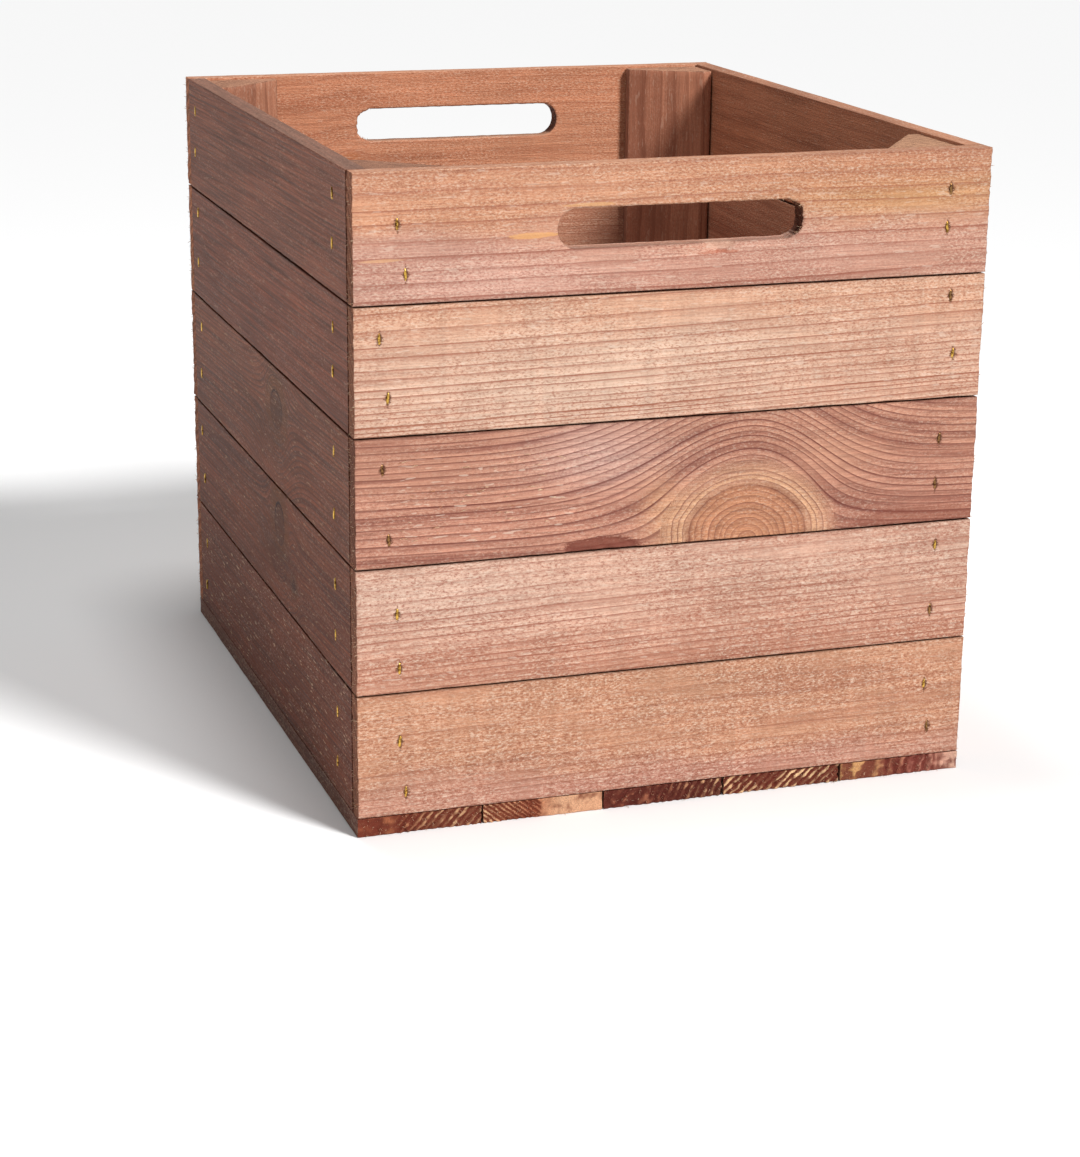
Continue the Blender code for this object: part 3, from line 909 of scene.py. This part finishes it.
def board_piece(side, node, look, place, sizes, slot):
    """A sawn board or slat in place of a CAD node."""
    length, width, thickness = sizes
    spots = board_spots(node, side, look, sizes)
    fine_x = [(spot[0] - 2.6, spot[0] + 2.6, 0.65) for spot in spots]
    fine_y = [(spot[1] - 5.2, spot[1] + 5.2, 0.9) for spot in spots]
    fine_x += [(dent[0] - 2, dent[1] + 2, 1.3) for dent in look.dents]
    fine_y += [(dent[2] - 2, dent[3] + 2, 1.1) for dent in look.dents]
    outline = rectangle_outline(length, width)
    if slot:
        (left, right), centre, radius = slot
        outline = slotted_outline(length, width, slot)
        fine_x += [(left - 2, left + radius + 2, 1.0), (right - radius - 2, right + 3, 0.8)]
        fine_y += [(centre - radius - 2, centre + radius + 2, 1.1)]
    lines = (
        lattice_lines(length, 4.5 if look.ridges else 2.6, fine_x),
        lattice_lines(width, 0.85 if look.ridges else 2.4, fine_y),
        lattice_lines(thickness, 0.8 if look.ridges else 2.0),
    )
    points, faces, rim = lattice_solid(lines, outline)
    wear_edges(points, rim, outline, thickness, look.seed)
    end_ridges(points, length, look)
    roughen(points, length, width, thickness, look.seed)
    staple_dents(points, spots, thickness)
    carve_dents(points, look.dents, thickness, look.seed + 64)
    material = wood_material(node + "_wood", look, sizes, spots, slot)
    piece = make_piece(node + "_wood", points, faces, place, material)
    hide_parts(node)
    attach(piece, "root")


for side in LOOKS:
    for board in boards_of(side):
        board_piece(side, *board)


# ---- torn fibres -------------------------------------------------------------------
SLIVER_SIZE = 7  # points in a splinter
SLIVER_FACES = np.array([
    (0, 2, 1), (0, 1, 4), (0, 4, 3), (1, 2, 5), (1, 5, 4), (2, 0, 3), (2, 3, 5),
    (3, 4, 6), (4, 5, 6), (5, 3, 6),
])


def unit(vectors):
    return vectors / np.linalg.norm(vectors, axis=1)[:, None]


def sliver_points(bases, headings, lengths, widths, draw):
    """The points of tapering splinters of wood."""
    headings = unit(headings)
    sides = unit(np.cross(np.array([0.03, 0.02, 1.0]), headings))
    ups = np.cross(headings, sides)
    curl = sides * (draw.uniform(-0.25, 0.25, len(bases)) * lengths)[:, None]
    curl += ups * (draw.uniform(0.0, 0.18, len(bases)) * lengths)[:, None]
    rows = []
    for along, bend, size in ((0.0, 0.0, 1.0), (0.5, 0.3, 0.75)):
        middle = bases + headings * (lengths * along)[:, None] + curl * bend
        for side, up in ((0.5, 0.0), (0.0, 0.45), (-0.5, 0.0)):
            rows.append(middle + (sides * side + ups * up) * (widths * size)[:, None])
    rows.append(bases + headings * lengths[:, None] + curl)
    return np.stack(rows, axis=1).reshape(-1, 3)


def end_fibres(sizes, count, at_start, draw):
    """Short hairs that stand out of a sawn end."""
    length, width, thickness = sizes
    bases = np.column_stack([
        np.full(count, 0.6 if at_start else length - 0.6),
        draw.uniform(0.3, width - 0.3, count), draw.uniform(0.4, thickness - 0.2, count),
    ])
    headings = np.column_stack([
        np.full(count, -1.0 if at_start else 1.0),
        draw.normal(0, 0.7, count), draw.normal(0.1, 0.45, count),
    ])
    return bases, headings, draw.uniform(0.9, 2.6, count), draw.uniform(0.14, 0.34, count)


def face_flakes(zone, thickness, count, longest, slot, draw):
    """Raised slivers that lie on the outer face along the grain, clear of the slot."""
    left, right, bottom, top = zone
    bases = np.column_stack([
        draw.uniform(left, right, count), draw.uniform(bottom, top, count),
        np.full(count, thickness - 0.28),
    ])
    headings = np.column_stack([
        draw.choice([-1.0, 1.0], count), draw.normal(0.1, 0.1, count),
        draw.uniform(0.04, 0.10, count),
    ])
    lengths = longest * draw.uniform(0.3, 1.0, count) ** 1.5
    flakes = bases, headings, lengths, draw.uniform(0.25, 0.75, count)
    if slot:
        (start, end), middle, radius = slot
        along = np.maximum(np.maximum(start - bases[:, 0], bases[:, 0] - end), 0)
        clear = (along > longest + 1) | (np.abs(bases[:, 1] - middle) > radius + 1)
        flakes = tuple(values[clear] for values in flakes)
    return flakes


def slot_fibres(slot, thickness, count, draw):
    """Hairs round the rough right end of a hand slot."""
    (_, right), middle, radius = slot
    turn = draw.uniform(-1.7, 1.7, count)
    outwards = np.column_stack([np.cos(turn), np.sin(turn)])
    bases = np.column_stack([
        (right - radius, middle) + outwards * (radius + 0.3),
        draw.uniform(thickness - 4, thickness - 0.3, count),
    ])
    headings = np.column_stack([
        -outwards + draw.normal(0, 0.6, (count, 2)), draw.normal(0.3, 0.4, count),
    ])
    return bases, headings, draw.uniform(0.7, 2.2, count), draw.uniform(0.15, 0.4, count)


def fibre_material(name, pale, dark):
    g = Graph(name)
    p = g.millimetres()
    patch = g.cloud(p, (0.25, 0.25, 0.25), 7, 2.0)
    hair = g.cloud(p, (2.0, 2.0, 2.0), 8, 2.0)
    base = g.mix(patch.step(0.35, 0.65), linear(dark), linear(pale))
    base = g.shade(base, (hair - 0.5) * 0.6 + 0.8)
    return g.finish(base, hair * 0.3 + 0.6, hair * 0.05)


FIBRE = fibre_material("torn_fibre", (238, 206, 170), (180, 118, 80))
# (hairs at the left end, hairs at the right end, flakes on the face) for each board.
FIBRE_COUNTS = {
    "front": (85, 40, 6), "back": (40, 70, 6), "left": (8, 8, 26), "right": (8, 8, 12),
    "bottom": (55, 45, 0),
}
FLAKE_LENGTH = 2.4
ZONE_FLAKES, ZONE_FLAKE_LENGTH = 70, 6.0  # in a look's own fleck zone
SLOT_HAIRS = 60
LOWEST_FIBRE = 0.05  # mm above the floor


def fibre_piece(side):
    """All the torn fibres of one wall, or of the bottom, as one piece."""
    start_count, finish_count, flakes = FIBRE_COUNTS[side]
    pieces = []
    for _, look, place, sizes, slot in boards_of(side):
        length, width, thickness = sizes
        draw = np.random.RandomState(500 + look.seed)
        groups = [
            end_fibres(sizes, start_count, True, draw),
            end_fibres(sizes, finish_count, False, draw),
        ]
        if flakes:
            zone = (12, length - 12, 3, width - 3)
            groups.append(face_flakes(zone, thickness, flakes, FLAKE_LENGTH, slot, draw))
        if look.fleck_zone:
            zone = look.fleck_zone
            flakes_here = ZONE_FLAKES, ZONE_FLAKE_LENGTH
            groups.append(face_flakes(zone, thickness, *flakes_here, slot, draw))
        if slot:
            groups.append(slot_fibres(slot, thickness, SLOT_HAIRS, draw))
        pieces += [to_world(sliver_points(*group, draw), place) for group in groups]
    points = np.concatenate(pieces)
    points[:, 2] = np.maximum(points[:, 2], LOWEST_FIBRE)
    starts = range(0, len(points), SLIVER_SIZE)
    faces = np.concatenate([SLIVER_FACES + start for start in starts])
    piece = make_piece(side + "_torn_fibres", points, faces, Matrix.Identity(4), FIBRE)
    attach(piece, "root")


for side in LOOKS:
    fibre_piece(side)


# ---- corner posts ------------------------------------------------------------------
POST_BLUNT = 6.0  # what is left of the two sides beside the sawn edge
POST_ROUND = 0.7
POST_STEP = 1.8


def rounded_outline(corners, radius, step):
    """Points round a convex outline with rounded corners, and their outward directions."""
    corners = np.array(corners, float)
    sides = unit(np.roll(corners, -1, axis=0) - corners)
    outwards = np.stack([sides[:, 1], -sides[:, 0]], axis=1)
    before = np.roll(outwards, 1, axis=0)
    bisector = (outwards + before) / (1 + (outwards * before).sum(axis=1))[:, None]
    centres = corners - radius * bisector
    points, directions = [], []
    for index, centre in enumerate(centres):
        for share in (0.0, 0.25, 0.5, 0.75):
            direction = before[index] * (1 - share) + outwards[index] * share
            directions.append(direction / np.linalg.norm(direction))
            points.append(centre + radius * directions[-1])
        start = centre + radius * outwards[index]
        stop = centres[(index + 1) % len(centres)] + radius * outwards[index]
        count = max(1, round(np.linalg.norm(stop - start) / step))
        for part in range(count):
            points.append(start + (stop - start) * part / count)
            directions.append(outwards[index])
    if len(points) % 2:
        points.pop()
        directions.pop()
    return np.array(points), np.array(directions)


def post_solid(corners, height, seed):
    """Points and quads of a post: rings of its outline, from cap to cap."""
    base, outwards = rounded_outline(corners, POST_ROUND, POST_STEP)
    middle = base.mean(axis=0)
    rings = [(0.0, share, 1.0) for share in (0.12, 0.4, 0.7, 0.9, 1.0)]
    rings += [(0.3, 1.0, 0.3), (1.0, 1.0, 0.0)]
    rings += [(z, 1.0, 0.0) for z in np.linspace(4, height - 4, round(height / 4))]
    rings += [(height - 1.0, 1.0, 0.0), (height - 0.3, 1.0, 0.3)]
    rings += [(height, share, 1.0) for share in (1.0, 0.9, 0.7, 0.4, 0.12)]
    points = []
    for z, share, worn in rings:
        flat = middle + (base - middle) * share
        spots = np.column_stack([flat, np.full(len(flat), z)])
        wear = worn * (0.5 + 0.35 * cloud(spots, (9, 9, 9), seed))
        wear += 0.12 + 0.12 * cloud(spots, (7, 7, 45), seed + 1)
        spots[:, :2] -= outwards * (wear * share)[:, None]
        if worn == 1.0:
            rough = 0.2 + 0.2 * cloud(spots, (1.8, 4, 9), seed + 2)
            spots[:, 2] += rough if z < height / 2 else -rough
        points.append(spots)
    count = len(base)
    start = np.arange(count)
    after = (start + 1) % count
    band = np.column_stack([start, after, after + count, start + count])
    faces = [band + ring * count for ring in range(len(rings) - 1)]
    half = np.arange(count // 2 - 1)
    cap = np.column_stack([half, half + 1, count - 2 - half, count - 1 - half])
    faces.append(cap[:, ::-1])
    faces.append(cap + (len(rings) - 1) * count)
    return np.concatenate(points), np.concatenate(faces)


def post_piece(corner):
    """A batten with its inward edge sawn off, in place of a CAD node."""
    node = "corner_post_" + corner
    look = POST_LOOKS[corner]
    place, (height, along_end, along_side) = place_of(node, "post")
    corners = [
        (0, 0), (along_end, 0), (along_end, POST_BLUNT),
        (POST_BLUNT, along_side), (0, along_side),
    ]
    if "right" in corner:
        corners = [(along_end - u, v) for u, v in reversed(corners)]
    if "back" in corner:
        corners = [(u, along_side - v) for u, v in reversed(corners)]
    points, faces = post_solid(corners, height, look.seed)
    material = wood_material(node + "_wood", look, (height, along_end, along_side))
    piece = make_piece(node + "_wood", points[:, [2, 0, 1]], faces, place, material)
    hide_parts(node)
    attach(piece, "root")


for corner in POST_LOOKS:
    post_piece(corner)


# ---- staples -----------------------------------------------------------------------
GOLD = metal_material("staple_wire_gold", (222, 178, 84), (120, 84, 40))
DULL = metal_material("staple_wire_dull", (150, 112, 70), (86, 54, 34))
DULL_SPOTS = (4, 5, 10, 12, 14, 15, 17, 19)
PROUD = {"front": 0.0, "back": 0.0, "left": 0.55, "right": 0.3}


def staple_mesh_data():
    """Points and quads of a staple whose crown runs along y and whose legs go along -z."""
    bend = [(1.0, -20), (1.0, -6), (1.0, -1.6), (0.96, -0.95), (0.82, -0.48), (0.4, -0.40)]
    path = [(-share * CROWN / 2, z) for share, z in bend]
    path += [(share * CROWN / 2, z) for share, z in reversed(bend)]
    section = [
        (-WIRE / 2, 0.2), (-WIRE * 0.32, FLAT / 2), (WIRE * 0.32, FLAT / 2), (WIRE / 2, 0.2),
        (WIRE / 2, -0.2), (WIRE * 0.32, -FLAT / 2), (-WIRE * 0.32, -FLAT / 2), (-WIRE / 2, -0.2),
    ]
    points = []
    for index, (y, z) in enumerate(path):
        before = path[max(index - 1, 0)]
        after = path[min(index + 1, len(path) - 1)]
        turn = math.atan2(after[1] - before[1], after[0] - before[0])
        for across, out in section:
            points.append((across, y - out * math.sin(turn), z + out * math.cos(turn)))
    count = len(section)
    faces = []
    for ring in range(len(path) - 1):
        for k in range(count):
            a, b = ring * count + k, ring * count + (k + 1) % count
            faces.append((a, b, b + count, a + count))
    for base, flip in ((0, False), (len(points) - count, True)):
        for k in (1, 3, 5):
            quad = [base, base + k, base + k + 1, base + (k + 2) % count]
            faces.append(quad[::-1] if flip else quad)
    return np.array(points, float), np.array(faces)


STAPLE_POINTS, STAPLE_FACES = staple_mesh_data()


def staple_points(spot, thickness, draw):
    """The points in mm of one staple, a little tilted, in its board's axes."""
    turn = Matrix.Rotation(draw.uniform(-0.14, 0.14), 3, "Z")
    sunk = draw.uniform(0.05, 0.35)
    origin = np.array([spot[0], spot[1], thickness - sunk])
    return STAPLE_POINTS @ np.array(turn).T + origin


def staple_piece(name, points, place, metal):
    """One object that holds one staple or many."""
    starts = range(0, len(points), len(STAPLE_POINTS))
    faces = np.concatenate([STAPLE_FACES + start for start in starts])
    piece = make_piece(name, points, faces, place, metal)
    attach(piece, "root")
    return piece


def node_of_staple(side, index):
    """The CAD node of a wall's staple, for the staples that have one."""
    if side == "front":
        return f"front_staple_{index + 1:02d}"
    if side == "left" and index >= len(SIDE_FAR_COLUMN):
        return f"left_staple_{index + 1 - len(SIDE_FAR_COLUMN):02d}"
    return None


draw = random.Random(5)
for side in WALLS:
    place, (wall_length, _, thickness) = place_of(side + "_board_5", side)
    floor_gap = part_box(side + "_board_5")[0][2] / MM
    others = []
    for index, (along, height) in enumerate(wall_spots(side, wall_length)):
        points = staple_points((along, height - floor_gap), thickness + PROUD[side], draw)
        node = node_of_staple(side, index)
        if node:
            dull = side == "front" and index in DULL_SPOTS
            piece = staple_piece(node + "_wire", points, place, DULL if dull else GOLD)
            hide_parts(node)
        else:
            others.append(points)
    if others:
        staple_piece(side + "_wall_staples", np.concatenate(others), place, GOLD)

under = []
for _, look, place, (_, width, thickness), _ in boards_of("bottom"):
    for spot in slat_spots(width, look.seed):
        under.append(to_world(staple_points(spot, thickness, draw), place))
staple_piece("bottom_slat_staples", np.concatenate(under), Matrix.Identity(4), GOLD)


# ---- floor, lights and camera ------------------------------------------------------
def stage_floor(reach):
    corners = [(-reach, -reach, 0), (reach, -reach, 0), (reach, reach, 0), (-reach, reach, 0)]
    mesh = bpy.data.meshes.new("studio_floor")
    mesh.from_pydata(corners, [], [(0, 1, 2, 3)])
    material = bpy.data.materials.new("studio_floor")
    material.use_nodes = True
    shader = material.node_tree.nodes["Principled BSDF"]
    shader.inputs["Base Color"].default_value = (0.90, 0.90, 0.90, 1.0)
    shader.inputs["Roughness"].default_value = 0.9
    mesh.materials.append(material)
    floor = new_object("studio_floor", mesh)


def studio_light(name, kind, place, energy, **settings):
    """A light that points at the crate's centre."""
    light = bpy.data.lights.new(name, kind)
    light.energy = energy
    for key, value in settings.items():
        setattr(light, key, value)
    obj = new_object(name, light)
    centre = (Vector(cad_box[0]) + Vector(cad_box[1])) / 2
    obj.location = place
    obj.rotation_euler = (centre - Vector(place)).to_track_quat("-Z", "Y").to_euler()


def studio_world(glow, backdrop):
    """Even white light from all round, seen as a brighter white backdrop."""
    world = bpy.data.worlds.new("studio")
    world.use_nodes = True
    tree = world.node_tree
    light = tree.nodes["Background"]
    seen = tree.nodes.new("ShaderNodeBackground")
    for node, strength in ((light, glow), (seen, backdrop)):
        node.inputs["Color"].default_value = (1.0, 1.0, 1.0, 1.0)
        node.inputs["Strength"].default_value = strength
    path = tree.nodes.new("ShaderNodeLightPath")
    mix = tree.nodes.new("ShaderNodeMixShader")
    tree.links.new(path.outputs["Is Camera Ray"], mix.inputs[0])
    tree.links.new(light.outputs[0], mix.inputs[1])
    tree.links.new(seen.outputs[0], mix.inputs[2])
    tree.links.new(mix.outputs[0], tree.nodes["World Output"].inputs["Surface"])
    bpy.context.scene.world = world


stage_floor(40.0)
studio_light("overhead", "AREA", (-0.10, 0.03, 1.25), 7, shape="DISK", size=0.35)
studio_light("key", "SUN", (0.85, -1.35, 1.45), 4.1, angle=math.radians(14))
studio_world(0.25, 0.92)

CAMERA_PLACE = (-0.479, -1.398, 0.521)
TILT_DOWN, TURN, ROLL = (math.radians(angle) for angle in (17.2, -18.7, 0.6))
camera_data = bpy.data.cameras.new("camera")
camera_data.lens = 84
camera = new_object("camera", camera_data)
aim = Euler((math.pi / 2 - TILT_DOWN, 0, TURN)).to_matrix() @ Matrix.Rotation(ROLL, 3, "Z")
camera.matrix_world = Matrix.Translation(CAMERA_PLACE) @ aim.to_4x4()
bpy.context.scene.camera = camera
bpy.context.scene.view_settings.view_transform = "Standard"
